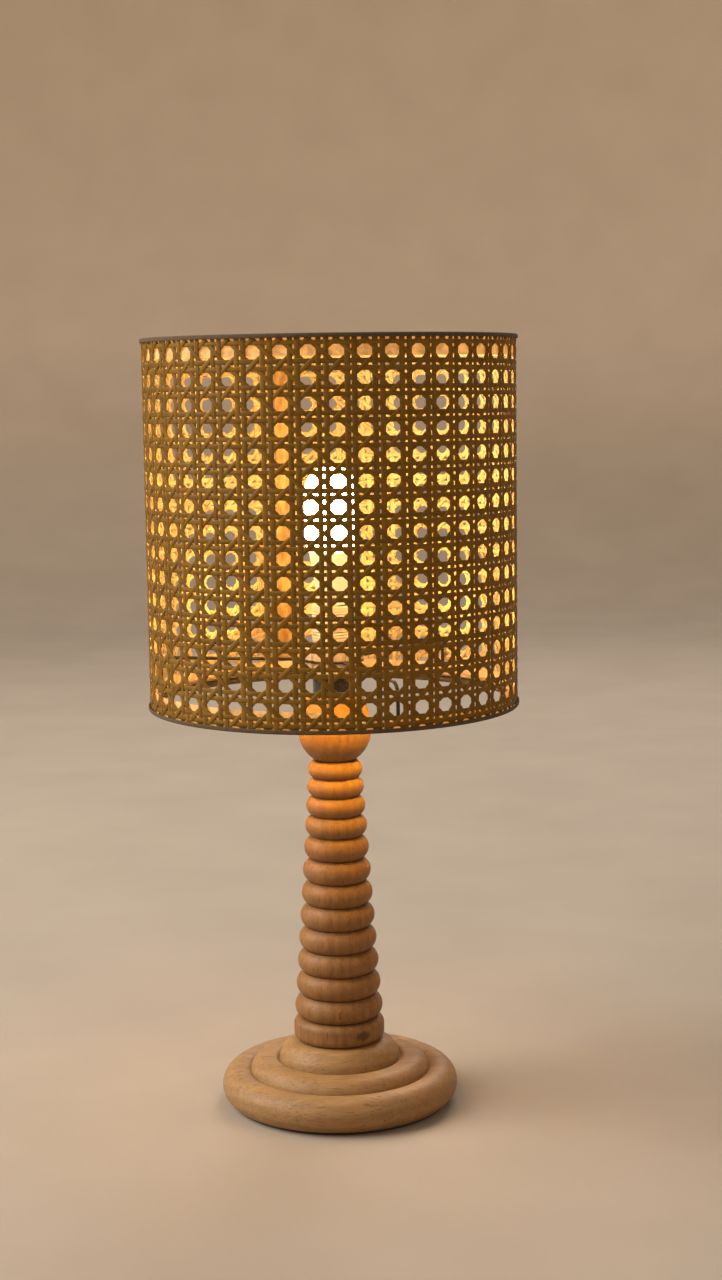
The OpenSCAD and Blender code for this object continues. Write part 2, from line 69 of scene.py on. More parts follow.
# Strands: distance from the middle of a pair, in pitches, then widths, thickness and lifts
PAIR_OFFSET = 0.134
VERTICAL_W = 3.55 * MM
HORIZONTAL_W = 2.95 * MM
DIAGONAL_W = 2.8 * MM
STRAND_T = 0.5 * MM
CROSS_LIFT = 0.27 * MM
DIAGONAL_LIFT = 0.5 * MM

# How a diagonal swings from one side of the webbing to the other: steepness, and steps in a pitch
DIAGONAL_SWING = 2.2
DIAGONAL_STEPS = 8

# Shortest diagonal, in pitches, and what sets one strand's fibres apart from the next one's
LEAST_DIAGONAL = 0.5
FIBRE_SHIFT = 7.3

# Unevenness of the weave: of widths as a share, how many times that at most, and of places in pitches
WIDTH_SPREAD = 0.05
MOST_SPREAD = 2
PLACE_SPREAD = 0.008

# Lining strips: thickness, place and depth of the lower one's trimming, and width over the seam.
# The trimmed stretch starts and is full at these cosines of the angle from its middle.
LINING_T = 0.5 * MM
LINING_STEPS = 360
TRIM_TURN = math.radians(-58)
TRIM_START = 0.788
TRIM_FULL = 0.92
TRIM_DEPTH = 6.5 * MM
SEAM_W = 12 * MM
SEAM_STEPS = 9

# Edge tape: wall, gap to the lining, height on the outside and radius of its folds
TAPE_T = 0.8 * MM
TAPE_GAP = 0.1 * MM
TAPE_OUTER_H = 2.8 * MM
TAPE_FOLD_R = 1.1 * MM
TAPE_STEPS = 480
FOLD_STEPS = 6
INSIDE_STEPS = 4

# Threads: pitch, depth and the plain ends, and steps in a turn and in a pitch
HOLDER_PITCH = 2.0 * MM
HOLDER_DEPTH = 0.6 * MM
BULB_PITCH = 2.82 * MM
BULB_DEPTH = 0.7 * MM
PLAIN_LOW = 1 * MM
PLAIN_HIGH = 3 * MM
THREAD_STEPS = 96
PITCH_STEPS = 10

# Walls of the lampholder's skirt, its lip, the screw shell in it and the bulb's cap
HOLDER_WALL = 2.0 * MM
LIP_T = 2.5 * MM
SHELL_T = 0.5 * MM
CAP_T = 0.3 * MM

# Knot on the collar: its place and half sizes
KNOT_AT = (16.8 * MM, -26.1 * MM, 51.6 * MM)
KNOT_SIZE = (5.6 * MM, 5.6 * MM, 3.4 * MM)

# Bulb: strength of its glow, and the globe's dimmer foot, as shares of the glow and of the height
BULB_GLOW = 60.0
FOOT_GLOW = 0.04
FOOT_SHARE = 0.3

# Floor, in metres: first rings of points, where it sweeps up, the sweep's radius, its top, and how
# high its colour changes
FLOOR_RINGS = [(0.001, 0.0), (0.4, 0.0)]
FLOOR_R = 2.6
SWEEP_R = 1.6
FLOOR_TOP = 4.0
FLOOR_STEPS = 96
SWEEP_STEPS = 16
FLOOR_TONE_HEIGHT = 0.6

# Lights: where they aim, and the strength of the soft light from all round
LAMP_MIDDLE = (0, 0, 0.25)
SURROUND_LIGHT = 0.36

# Lamps that stand for the light thrown back inside the shade: number in a ring, size and spread
GLOW_COUNT = 8
GLOW_SIZE = 30 * MM
GLOW_SPREAD = math.radians(62)


# Meshes

def mesh_object(name, points, faces, smooth=True):
    """A new object whose mesh has these points and faces."""
    mesh = bpy.data.meshes.new(name)
    mesh.from_pydata(np.asarray(points).reshape(-1, 3).tolist(), [], faces)
    mesh.update()
    if smooth:
        mesh.shade_smooth()
    piece = bpy.data.objects.new(name, mesh)
    bpy.context.scene.collection.objects.link(piece)
    return piece


def grid_faces(rows, columns, wrap_rows, wrap_columns, first=0):
    """Quads between neighbouring points of a grid, numbered row by row from first."""
    r = np.arange(rows if wrap_rows else rows - 1)
    c = np.arange(columns if wrap_columns else columns - 1)
    r, c = np.meshgrid(r, c, indexing="ij")
    r2 = (r + 1) % rows
    c2 = (c + 1) % columns
    corners = [r * columns + c, r * columns + c2, r2 * columns + c2, r2 * columns + c]
    return np.stack(corners, axis=-1).reshape(-1, 4) + first


def lathe(name, profile, steps, closed=True):
    """A profile of (radius, height) points turned round the lamp's axis. It runs anticlockwise."""
    turn = np.arange(steps) * 2 * math.pi / steps
    profile = np.asarray(profile)
    radius, height = profile[:, 0], profile[:, 1]
    points = np.stack([
        np.cos(turn)[:, None] * radius,
        np.sin(turn)[:, None] * radius,
        np.broadcast_to(height, (steps, len(profile)))
    ], axis=-1)
    faces = grid_faces(steps, len(profile), True, closed)[:, ::-1]
    return mesh_object(name, points, faces.tolist())


def arc(centre, radius, start, end, steps):
    """Points on a circle of (radius, height) coordinates between two angles in degrees."""
    angle = np.radians(np.linspace(start, end, steps + 1))
    unit = np.stack([np.cos(angle), np.sin(angle)], axis=-1)
    return np.array(centre) + radius * unit


def set_values(mesh, name, kind, values):
    """Stores a number or a vector on every point of a mesh."""
    attribute = mesh.attributes.new(name, kind, "POINT")
    field = "vector" if kind == "FLOAT_VECTOR" else "value"
    attribute.data.foreach_set(field, np.asarray(values, np.float32).ravel())


# Materials

def rgb(r, g, b):
    """An opaque colour, in linear light."""
    return (r, g, b, 1.0)


class Look:
    """A material in the making, with short ways to add nodes and join them. The shader's own values
    are named after its inputs, with an underscore for each space."""

    def __init__(self, name, **shader):
        self.material = bpy.data.materials.new(name)
        self.material.use_nodes = True
        self.tree = self.material.node_tree
        self.shader = self.tree.nodes["Principled BSDF"]
        self.coords = self.tree.nodes.new("ShaderNodeTexCoord").outputs["Object"]
        self.join(self.shader, {key.replace("_", " "): value for key, value in shader.items()})

    def join(self, node, values):
        """Gives a node's inputs their values, which are numbers or other nodes' outputs."""
        for key, value in values.items():
            socket = node.inputs[key]
            if isinstance(value, bpy.types.NodeSocket):
                self.tree.links.new(value, socket)
            else:
                socket.default_value = value

    def add(self, kind, values, **settings):
        """A new node of this kind, with values for its inputs and its settings."""
        node = self.tree.nodes.new("ShaderNode" + kind)
        for key, value in settings.items():
            setattr(node, key, value)
        self.join(node, values)
        return node

    def scaled(self, scale, turn=(0, 0, 0), shift=(0, 0, 0)):
        """Object coordinates, moved, turned and stretched."""
        turned = self.add("Mapping", {"Vector": self.coords, "Rotation": turn, "Location": shift})
        return self.add("Mapping", {"Vector": turned.outputs[0], "Scale": scale}).outputs[0]

    def noise(self, vector, scale=1.0, detail=3.0, roughness=0.5):
        """A cloudy value from 0 to 1."""
        values = {"Vector": vector, "Scale": scale, "Detail": detail, "Roughness": roughness}
        return self.add("TexNoise", values).outputs["Fac"]

    def math(self, operation, a, b):
        """What an operation makes of two values."""
        node = self.add("Math", {0: a, 1: b}, operation=operation)
        return node.outputs[0]

    def spread(self, value, low, high, to_low=0.0, to_high=1.0):
        """A value from low to high, spread over another range and held at its ends."""
        values = {"Value": value, "From Min": low, "From Max": high,
                  "To Min": to_low, "To Max": to_high}
        return self.add("MapRange", values).outputs[0]

    def mix(self, factor, a, b):
        """A colour between a and b."""
        node = self.add("Mix", {0: factor, 6: a, 7: b}, data_type="RGBA")
        return node.outputs[2]

    def ramp(self, value, stops):
        """A colour for each value, between stops of (position, colour)."""
        node = self.add("ValToRGB", {"Fac": value})
        elements = node.color_ramp.elements
        while len(elements) < len(stops):
            elements.new(0.5)
        for element, (position, colour) in zip(elements, stops):
            element.position = position
            element.color = colour
        return node.outputs["Color"]

    def attribute(self, name):
        """What set_values stored under this name."""
        return self.add("Attribute", {}, attribute_name=name)

    def finish(self, colour=None, roughness=None, bump=None, strength=0.2, distance=0.2 * MM):
        """Joins what varies over the surface to the shader."""
        if colour is not None:
            self.join(self.shader, {"Base Color": colour})
        if roughness is not None:
            self.join(self.shader, {"Roughness": roughness})
        if bump is not None:
            values = {"Height": bump, "Strength": strength, "Distance": distance}
            self.join(self.shader, {"Normal": self.add("Bump", values).outputs[0]})
        return self.material


# Turns that lay the grain of the wood along an axis
ALONG_X = (0, math.radians(90), 0)
ALONG_Z = (0, 0, 0)


def wood(name, grain, light, dark, knot=None):
    """Lacquered beech: growth rings, fine fibres and short dark flecks along the grain."""
    look = Look(name, Specular_IOR_Level=0.32, Coat_Weight=0.05, Coat_Roughness=0.35)
    ring_at = look.scaled((1, 1, 0.12), grain, (0.105, 0.06, 0.02))
    wave = {"Vector": ring_at, "Scale": 46, "Distortion": 5.0, "Detail": 3.0, "Detail Scale": 14.0}
    rings = look.add("TexWave", wave, wave_type="RINGS", rings_direction="Z").outputs["Fac"]
    fibres = look.noise(look.scaled((1, 1, 0.03), grain), 1500, 4.0, 0.65)
    streaks = look.noise(look.scaled((1, 1, 0.04), grain), 330, 2.0, 0.5)
    clouds = look.noise(look.coords, 22, 3.0, 0.55)
    fleck = look.noise(look.scaled((1, 1, 0.07), grain), 1150, 1.0, 0.4)
    fleck = look.spread(fleck, 0.64, 0.72)
    shade = look.math("MULTIPLY", rings, 0.36)
    shade = look.math("ADD", shade, look.spread(fibres, 0.3, 0.7, 0.0, 0.34))
    shade = look.math("ADD", shade, look.spread(streaks, 0.3, 0.7, 0.0, 0.38))
    colour = look.mix(shade, light, dark)
    warm = rgb(light[0] * 0.86, light[1] * 0.74, light[2] * 0.62)
    colour = look.mix(look.spread(clouds, 0.42, 0.75, 0.0, 0.6), colour, warm)
    deep = rgb(dark[0] * 0.55, dark[1] * 0.5, dark[2] * 0.45)
    colour = look.mix(look.math("MULTIPLY", fleck, 0.75), colour, deep)
    if knot is not None:
        place, size = knot
        shift = tuple(-p / s for p, s in zip(place, size))
        scale = tuple(1 / s for s in size)
        near = look.add("Mapping", {"Vector": look.coords, "Scale": scale, "Location": shift})
        ragged = look.math("MULTIPLY", look.noise(look.coords, 420, 3.0), 0.5)
        far = look.add("VectorMath", {0: near.outputs[0]}, operation="LENGTH").outputs["Value"]
        spot = look.spread(look.math("ADD", far, ragged), 0.9, 1.45, 1.0, 0.0)
        colour = look.mix(look.math("MULTIPLY", spot, 0.8), colour, rgb(0.075, 0.036, 0.011))
    roughness = look.spread(fibres, 0.3, 0.7, 0.48, 0.64)
    return look.finish(colour, roughness, fibres, 0.12, 0.15 * MM)


def cane():
    """Split cane: a dark, smooth bark side and a paler pith side, with fibres along each strand. The
    bark's darkness is partly the cane's own colour and partly painted shade for the outside, which
    the bulb doesn't reach. A faint painted warm glow stands for the bulb's light coming through the
    strands.
    """
    # The emission is a painted glow, the bulb's light through the strands, as the cane is no lamp
    look = Look("cane", Specular_IOR_Level=0.1,
                Emission_Color=rgb(1.0, 0.36, 0.02), Emission_Strength=0.018)
    strand = look.attribute("strand").outputs["Vector"]
    side = look.attribute("bark_side").outputs["Fac"]
    tone = look.attribute("tone").outputs["Fac"]
    fibre_at = look.add("Mapping", {"Vector": strand, "Scale": (90, 2600, 1)}).outputs[0]
    fibres = look.noise(fibre_at, 1.0, 3.0, 0.6)
    blotch = look.noise(look.coords, 48, 3.0, 0.6)
    # Bark colours: partly the cane's own colour, partly painted shade for the unlit outside of the
    # webbing
    bark = look.ramp(fibres, [(0.25, rgb(0.104, 0.052, 0.007)), (0.75, rgb(0.245, 0.132, 0.020))])
    bark = look.mix(look.spread(blotch, 0.45, 0.7, 0.0, 0.55), bark, rgb(0.190, 0.088, 0.012))
    pith = look.ramp(fibres, [(0.25, rgb(0.46, 0.29, 0.095)), (0.75, rgb(0.62, 0.42, 0.15))])
    colour = look.mix(look.spread(side, 0.25, 0.6), pith, bark)
    value = look.spread(tone, 0.0, 1.0, 0.82, 1.18)
    colour = look.add("HueSaturation", {"Color": colour, "Value": value}).outputs[0]
    roughness = look.spread(side, 0.2, 0.8, 0.72, 0.46)
    return look.finish(colour, roughness, fibres, 0.35, 0.12 * MM)


def tape():
    """Woven edge tape: fine ribs across it and a slubby thread."""
    look = Look("edge_tape", Specular_IOR_Level=0.2, Sheen_Weight=0.06, Sheen_Roughness=0.5)
    along = look.attribute("strand").outputs["Vector"]
    wave = {"Vector": along, "Scale": 420, "Distortion": 1.2, "Detail": 2.0, "Detail Scale": 3.0}
    ribs = look.add("TexWave", wave, wave_type="BANDS", bands_direction="X").outputs["Fac"]
    slubs = look.noise(look.scaled((1, 1, 3)), 260, 4.0, 0.65)
    height = look.math("ADD", look.math("MULTIPLY", ribs, 0.6), slubs)
    colour = look.ramp(look.spread(height, 0.45, 1.15),
                       [(0.0, rgb(0.064, 0.040, 0.020)), (1.0, rgb(0.148, 0.100, 0.056))])
    return look.finish(colour, look.spread(slubs, 0.3, 0.7, 0.75, 0.92), height, 0.5, 0.2 * MM)


def lining(name, glow):
    """Tan stiff strip that glows a little, because the bulb's light comes through it unevenly."""
    look = Look(name, Emission_Color=rgb(1.0, 0.43, 0.10))
    pulp = look.noise(look.coords, 900, 4.0, 0.6)
    cloud = look.noise(look.coords, 150, 3.0, 0.6)
    colour = look.ramp(pulp, [(0.3, rgb(0.50, 0.33, 0.13)), (0.7, rgb(0.62, 0.42, 0.18))])
    colour = look.mix(look.spread(cloud, 0.4, 0.65, 0.0, 0.6), colour, rgb(0.48, 0.26, 0.08))
    uneven = look.spread(cloud, 0.38, 0.62, 1.4 * glow, 0.6 * glow)
    look.join(look.shader, {"Emission Strength": uneven})
    return look.finish(colour, look.spread(pulp, 0.3, 0.7, 0.55, 0.72), pulp, 0.15, 0.1 * MM)


def seam_cane():
    """Flat strip of split cane, pith side out, with fibres along it."""
    look = Look("seam_cane", Specular_IOR_Level=0.2)
    fibres = look.noise(look.scaled((1, 1, 0.05)), 1600, 4.0, 0.65)
    blotch = look.noise(look.scaled((1, 1, 0.4)), 130, 3.0, 0.6)
    colour = look.ramp(fibres, [(0.3, rgb(0.42, 0.22, 0.052)), (0.7, rgb(0.60, 0.36, 0.105))])
    colour = look.mix(look.spread(blotch, 0.42, 0.62, 0.0, 0.85), colour, rgb(0.27, 0.115, 0.021))
    return look.finish(colour, look.spread(fibres, 0.3, 0.7, 0.6, 0.75), fibres, 0.3, 0.1 * MM)


def plastic(name, colour, rough, gloss_coat=0.0):
    """Moulded plastic: faint mottling, uneven gloss and a slight orange peel."""
    look = Look(name, Coat_Weight=gloss_coat, Coat_Roughness=0.12)
    mottle = look.noise(look.coords, 130, 3.0, 0.5)
    peel = look.noise(look.coords, 900, 2.0, 0.5)
    paler = rgb(*(min(1.0, c * 1.10 + 0.004) for c in colour))
    darker = rgb(*(c * 0.88 for c in colour))
    tint = look.ramp(mottle, [(0.3, darker), (0.7, paler)])
    roughness = look.spread(mottle, 0.3, 0.7, rough - 0.05, rough + 0.07)
    return look.finish(tint, roughness, peel, 0.08, 0.1 * MM)


def metal(name, colour, rough, brushed=(1, 1, 1)):
    """Bare metal with fine marks and a slightly uneven tarnish."""
    look = Look(name, Metallic=1.0)
    marks = look.noise(look.scaled(brushed), 1300, 4.0, 0.6)
    tarnish = look.noise(look.coords, 70, 4.0, 0.6)
    dull = rgb(*(c * 0.72 for c in colour))
    tint = look.ramp(tarnish, [(0.35, dull), (0.62, rgb(*colour))])
    roughness = look.spread(marks, 0.3, 0.7, rough - 0.08, rough + 0.12)
    return look.finish(tint, roughness, marks, 0.06, 0.05 * MM)


def coated_wire(name, thick, thin):
    """Lacquer on steel wire, thick or worn thin."""
    look = Look(name)
    worn = look.noise(look.coords, 160, 4.0, 0.65)
    colour = look.ramp(worn, [(0.35, thick), (0.75, thin)])
    return look.finish(colour, look.spread(worn, 0.3, 0.7, 0.32, 0.55), worn, 0.1, 0.1 * MM)


def felt():
    """Pressed felt with a soft nap."""
    look = Look("felt", Sheen_Weight=0.4, Sheen_Roughness=0.6)
    nap = look.noise(look.coords, 1700, 5.0, 0.7)
    colour = look.ramp(nap, [(0.3, rgb(0.012, 0.010, 0.008)), (0.7, rgb(0.045, 0.037, 0.030))])
    return look.finish(colour, look.spread(nap, 0.3, 0.7, 0.88, 1.0), nap, 0.6, 0.3 * MM)


def opal():
    """Lit opal globe, a little dimmer towards its foot."""
    look = Look("opal_globe", Base_Color=rgb(0.9, 0.86, 0.76), Emission_Color=rgb(1.0, 0.72, 0.38))
    milk = look.noise(look.coords, 140, 2.0, 0.5)
    height = look.add("SeparateXYZ", {0: look.coords}).outputs["Z"]
    low, high = (corner.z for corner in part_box("bulb_globe"))
    dimmer = low + FOOT_SHARE * (high - low)
    glow = look.spread(height, low, dimmer, FOOT_GLOW * BULB_GLOW, BULB_GLOW)
    look.join(look.shader, {"Emission Strength": glow})
    return look.finish(None, look.spread(milk, 0.3, 0.7, 0.25, 0.35))


# The column's beech is darker than the base's: partly the wood's own tone, partly painted shade for
# the dimmer light under the lampshade
column_wood = wood("beech_column", ALONG_Z, rgb(0.325, 0.163, 0.054), rgb(0.200, 0.092, 0.028),
                   (KNOT_AT, KNOT_SIZE))
base_wood = wood("beech_base", ALONG_X, rgb(0.415, 0.241, 0.099), rgb(0.250, 0.137, 0.052))
cane_look = cane()
tape_look = tape()
lining_look = lining("lining_strip", 0.42)
upper_lining_look = lining("upper_lining_strip", 0.52)
seam_look = seam_cane()
black_plastic = plastic("black_plastic", (0.012, 0.010, 0.009), 0.22, 0.4)
rubber = plastic("black_rubber", (0.022, 0.020, 0.019), 0.62)
cream_plastic = plastic("cream_plastic", (0.70, 0.62, 0.48), 0.38)
white_plastic = plastic("white_plastic", (0.78, 0.77, 0.73), 0.34)
ceramic = plastic("white_ceramic", (0.76, 0.74, 0.69), 0.3, 0.3)
board = plastic("light_board", (0.72, 0.74, 0.72), 0.4)
brass = metal("brass", (0.78, 0.56, 0.24), 0.28)
rod_brass = metal("rod_brass", (0.72, 0.52, 0.24), 0.34, (0.05, 0.05, 1))
steel = metal("zinc_steel", (0.62, 0.62, 0.60), 0.34)
nickel = metal("cap_nickel", (0.74, 0.72, 0.68), 0.26)
wire_look = coated_wire("dark_wire", rgb(0.018, 0.014, 0.011), rgb(0.060, 0.045, 0.033))
hoop_look = coated_wire("tan_wire", rgb(0.44, 0.28, 0.12), rgb(0.34, 0.21, 0.09))

FINISHES = {
    "felt_pad": felt(),
    "base": base_wood,
    "column": column_wood,
    "holder_cup": column_wood,
    "cord_grommet": rubber,
    "base_washer": steel,
    "base_nut": steel,
    "cup_nut": brass,
    "lamp_rod": rod_brass,
    "holder_cap": black_plastic,
    "holder_skirt": cream_plastic,
    "holder_insert": ceramic,
    "centre_contact": brass,
    "terminal_screws": brass,
    "screw_shell": brass,
    "shade_ring_lower": cream_plastic,
    "shade_ring_upper": cream_plastic,
    "fitter_collar": wire_look,
    "fitter_spokes": wire_look,
    "bottom_hoop": hoop_look,
    "top_hoop": hoop_look,
    "bottom_lining": lining_look,
    "top_lining": upper_lining_look,
    "cane_webbing": cane_look,
    "bottom_trim": tape_look,
    "top_trim": tape_look,
    "bulb_globe": opal(),
    "bulb_housing": white_plastic,
    "led_board": board,
    "bulb_screw_cap": nickel,
    "bulb_insulator": black_plastic,
    "bulb_tip": brass,
}
for name, material in FINISHES.items():
    nodes[name].material_slots[0].material = material


# Cane webbing, laid on the drum as flat strands

web_low, web_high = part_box("cane_webbing")
web_r = web_high.x
lining_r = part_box("bottom_lining")[1].x
web_mid_r = (web_r + lining_r) / 2
shade_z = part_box("bottom_trim")[0].z
pair_z = shade_z + FIRST_ROW - ROW_PITCH / 2
pair_turn = FRONT_TURN - (FRONT_COLUMN - 0.5) * COLUMN_TURN
low_up = (web_low.z - pair_z) / ROW_PITCH
high_up = (web_high.z - pair_z) / ROW_PITCH
diagonal_slope = math.atan2(ROW_PITCH, web_mid_r * COLUMN_TURN)

# Section of a strand, as shares of its width and thickness: rounded bark, flat pith
STRAND_SECTION = np.array([
    (0.5, -0.1), (0.36, 0.34), (0.0, 0.5), (-0.36, 0.34), (-0.5, -0.1), (-0.42, -0.5), (0.42, -0.5)
])


def strands(name, across, up, lift, heading, width, closed):
    """Flat strands on the drum. Each row of across and up holds one strand's path in hole pitches,
    lift its distance from the middle of the webbing, and heading its slope. Width is one number or
    one for each strand."""
    count, steps = across.shape
    sides = len(STRAND_SECTION)
    width = np.broadcast_to(width, count)[:, None, None]
    turn = pair_turn + across * COLUMN_TURN
    inside = np.clip(np.minimum(up - low_up, high_up - up), 0, 1)
    drop = ROW_DROP * (1 - np.cos(turn)) / 2 * inside
    height = pair_z + up * ROW_PITCH - drop
    radius = web_mid_r + lift
    out = np.stack([np.sin(turn), -np.cos(turn), np.zeros_like(turn)], axis=-1)
    round_it = np.stack([np.cos(turn), np.sin(turn), np.zeros_like(turn)], axis=-1)
    beside = -math.sin(heading) * round_it + math.cos(heading) * np.array([0.0, 0.0, 1.0])
    middle = out * radius[..., None] + height[..., None] * np.array([0.0, 0.0, 1.0])
    uneven = rng.standard_normal((count, 1, 1, 1)).clip(-MOST_SPREAD, MOST_SPREAD)
    widths = width[..., None] * (1 + WIDTH_SPREAD * uneven)
    points = (
        middle[:, :, None]
        + beside[:, :, None] * STRAND_SECTION[None, None, :, :1] * widths
        + out[:, :, None] * STRAND_SECTION[None, None, :, 1:] * STRAND_T
    )
    faces = []
    for strand in range(count):
        first = strand * steps * sides
        faces += grid_faces(steps, sides, closed, True, first).tolist()
        if not closed:
            faces.append(list(range(first + sides - 1, first - 1, -1)))
            last = first + (steps - 1) * sides
            faces.append(list(range(last, last + sides)))
    piece = mesh_object(name, points, faces)
    along = np.hypot(across * COLUMN_TURN * web_mid_r, up * ROW_PITCH)
    shape = (count, steps, sides)
    place = np.stack([
        np.broadcast_to(along[..., None], shape),
        np.broadcast_to(STRAND_SECTION[:, 0] * width, shape),
        np.broadcast_to(np.arange(count)[:, None, None] * FIBRE_SHIFT, shape)
    ], axis=-1)
    set_values(piece.data, "strand", "FLOAT_VECTOR", place)
    set_values(piece.data, "bark_side", "FLOAT", np.broadcast_to(STRAND_SECTION[:, 1] + 0.5, shape))
    set_values(piece.data, "tone", "FLOAT", np.broadcast_to(rng.random((count, 1, 1)), shape))
    piece.data.materials.append(cane_look)
    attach(piece, "shade")
    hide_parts("cane_webbing")


def weave_lift(position, strand, over):
    """Height of a straight strand that passes over and under the pairs it crosses."""
    nearest = np.round(position)
    inside = np.abs(position - nearest) <= PAIR_OFFSET
    between = position - np.floor(position)
    wave = np.where(
        inside,
        np.sin((position - nearest) / PAIR_OFFSET * math.pi / 2),
        np.cos((between - PAIR_OFFSET) / (1 - 2 * PAIR_OFFSET) * math.pi)
    )
    return over * CROSS_LIFT * wave * np.where(strand % 2 == 0, 1, -1)


# Shares of a pitch at which a straight strand has a ring of points
STRAIGHT_STEPS = np.array([-PAIR_OFFSET, 0.0, PAIR_OFFSET, 0.3, 0.5, 0.7])

# Least distance, in pitches, between a strand's end and its next ring of points
END_STEP = 0.03


def straight_ups():
    """Heights of a vertical strand's rings, from the webbing's lower edge to its upper one."""
    inner = (np.arange(-1, ROWS + 2)[:, None] + STRAIGHT_STEPS).ravel()
    inner = inner[(inner > low_up + END_STEP) & (inner < high_up - END_STEP)]
    return np.concatenate([[low_up], inner, [high_up]])


def verticals():
    """Strands from the lower edge to the upper one, in pairs between the columns of holes."""
    count = 2 * (COLUMNS + 1)
    index = np.arange(count)[:, None]
    up = straight_ups()[None, :] + np.zeros((count, 1))
    across = index // 2 + np.where(index % 2 == 0, -PAIR_OFFSET, PAIR_OFFSET)
    across = across + PLACE_SPREAD * rng.standard_normal((count, 1)) + np.zeros_like(up)
    lift = weave_lift(up, index, 1)
    strands("cane_verticals", across, up, lift, math.pi / 2, VERTICAL_W, False)


def horizontals():
    """Strands from one end of the panel to the other, closed over the seam. The panel's upper edge
    trims the last one."""
    count = 2 * (ROWS + 1)
    index = np.arange(count)[:, None]
    steps = (np.arange(COLUMNS + 1)[:, None] + STRAIGHT_STEPS).ravel()
    steps = steps[steps <= COLUMNS + PAIR_OFFSET]
    across = steps[None, :] + np.zeros((count, 1))
    up = index // 2 + np.where(index % 2 == 0, -PAIR_OFFSET, PAIR_OFFSET)
    up = up + PLACE_SPREAD * rng.standard_normal((count, 1))
    half = HORIZONTAL_W / ROW_PITCH / 2
    low, high = up - half, np.minimum(up + half, high_up)
    up = (low + high) / 2 + np.zeros_like(across)
    width = (high - low)[:, 0] * ROW_PITCH
    lift = weave_lift(across, index, -1)
    strands("cane_horizontals", across, up, lift, 0.0, width, True)


def diagonals(name, lean):
    """Strands that cross the pairs midway between crossings and cut the corners off the holes.
    Each runs until a corner of its end meets an edge of the panel, or to the seam."""
    reach = math.ceil(high_up - low_up)
    start = np.arange(-reach, COLUMNS + reach) + 0.5
    ends = np.sort(np.stack([-lean * start, lean * (COLUMNS - start)]), axis=0)
    first = np.maximum(ends[0], low_up)
    last = np.minimum(ends[1], high_up)
    kept = last - first > LEAST_DIAGONAL
    start, first, last = start[kept, None], first[kept, None], last[kept, None]
    half = DIAGONAL_W * (1 + MOST_SPREAD * WIDTH_SPREAD) / 2
    corner = half * math.cos(diagonal_slope) / ROW_PITCH
    first = np.maximum(first, low_up + corner)
    last = np.minimum(last, high_up - corner)
    up = first + (last - first) * np.linspace(0, 1, DIAGONAL_STEPS * reach + 1)
    across = start + lean * up + PLACE_SPREAD * rng.standard_normal(start.shape)
    swing = np.tanh(DIAGONAL_SWING * np.cos(2 * math.pi * up)) / math.tanh(DIAGONAL_SWING)
    heading = diagonal_slope if lean > 0 else math.pi - diagonal_slope
    strands(name, across, up, lean * DIAGONAL_LIFT * swing, heading, DIAGONAL_W, False)


verticals()
horizontals()
diagonals("cane_diagonals_right", 1)
diagonals("cane_diagonals_left", -1)


# Lining strips inside the webbing: the lower edge's one, and one over the seam

def strip(name, turns, low, high, inner_r, outer_r):
    """A strip bent round the lamp's axis, between two heights at each of its turns."""
    low, high = np.broadcast_to(low, turns.shape), np.broadcast_to(high, turns.shape)
    radius = np.array([outer_r, outer_r, inner_r, inner_r])
    height = np.stack([low, high, high, low], axis=-1)
    points = np.stack([
        np.cos(turns)[:, None] * radius,
        np.sin(turns)[:, None] * radius,
        height
    ], axis=-1)
    closed = turns[-1] - turns[0] > math.pi
    faces = grid_faces(len(turns), 4, closed, True)[:, ::-1].tolist()
    if not closed:
        faces += [[0, 1, 2, 3], [4 * len(turns) - 1 - corner for corner in range(4)]]
    piece = mesh_object(name, points, faces, smooth=False)
    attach(piece, "shade")
    return piece


def lower_lining():
    """Strip inside the lower edge, trimmed low on one side, where the last row of holes is open."""
    low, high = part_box("bottom_lining")
    turns = np.arange(LINING_STEPS) * 2 * math.pi / LINING_STEPS
    share = np.clip((np.cos(turns - TRIM_TURN) - TRIM_START) / (TRIM_FULL - TRIM_START), 0, 1)
    top = high.z - TRIM_DEPTH * share * share * (3 - 2 * share)
    piece = strip("lower_lining", turns, low.z, top, lining_r - LINING_T, lining_r)
    piece.data.materials.append(lining_look)
    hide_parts("bottom_lining")


def seam_strip():
    """Strip that backs the seam of the webbing, from one lining to the other."""
    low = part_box("bottom_lining")[1].z
    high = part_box("top_lining")[0].z
    half = SEAM_W / 2 / lining_r
    middle = pair_turn - math.pi / 2
    turns = middle + np.linspace(-half, half, SEAM_STEPS)
    piece = strip("seam_strip", turns, low, high, lining_r - LINING_T, lining_r)
    piece.data.materials.append(seam_look)


lower_lining()
seam_strip()


# Edge tapes, folded over the webbing's edges

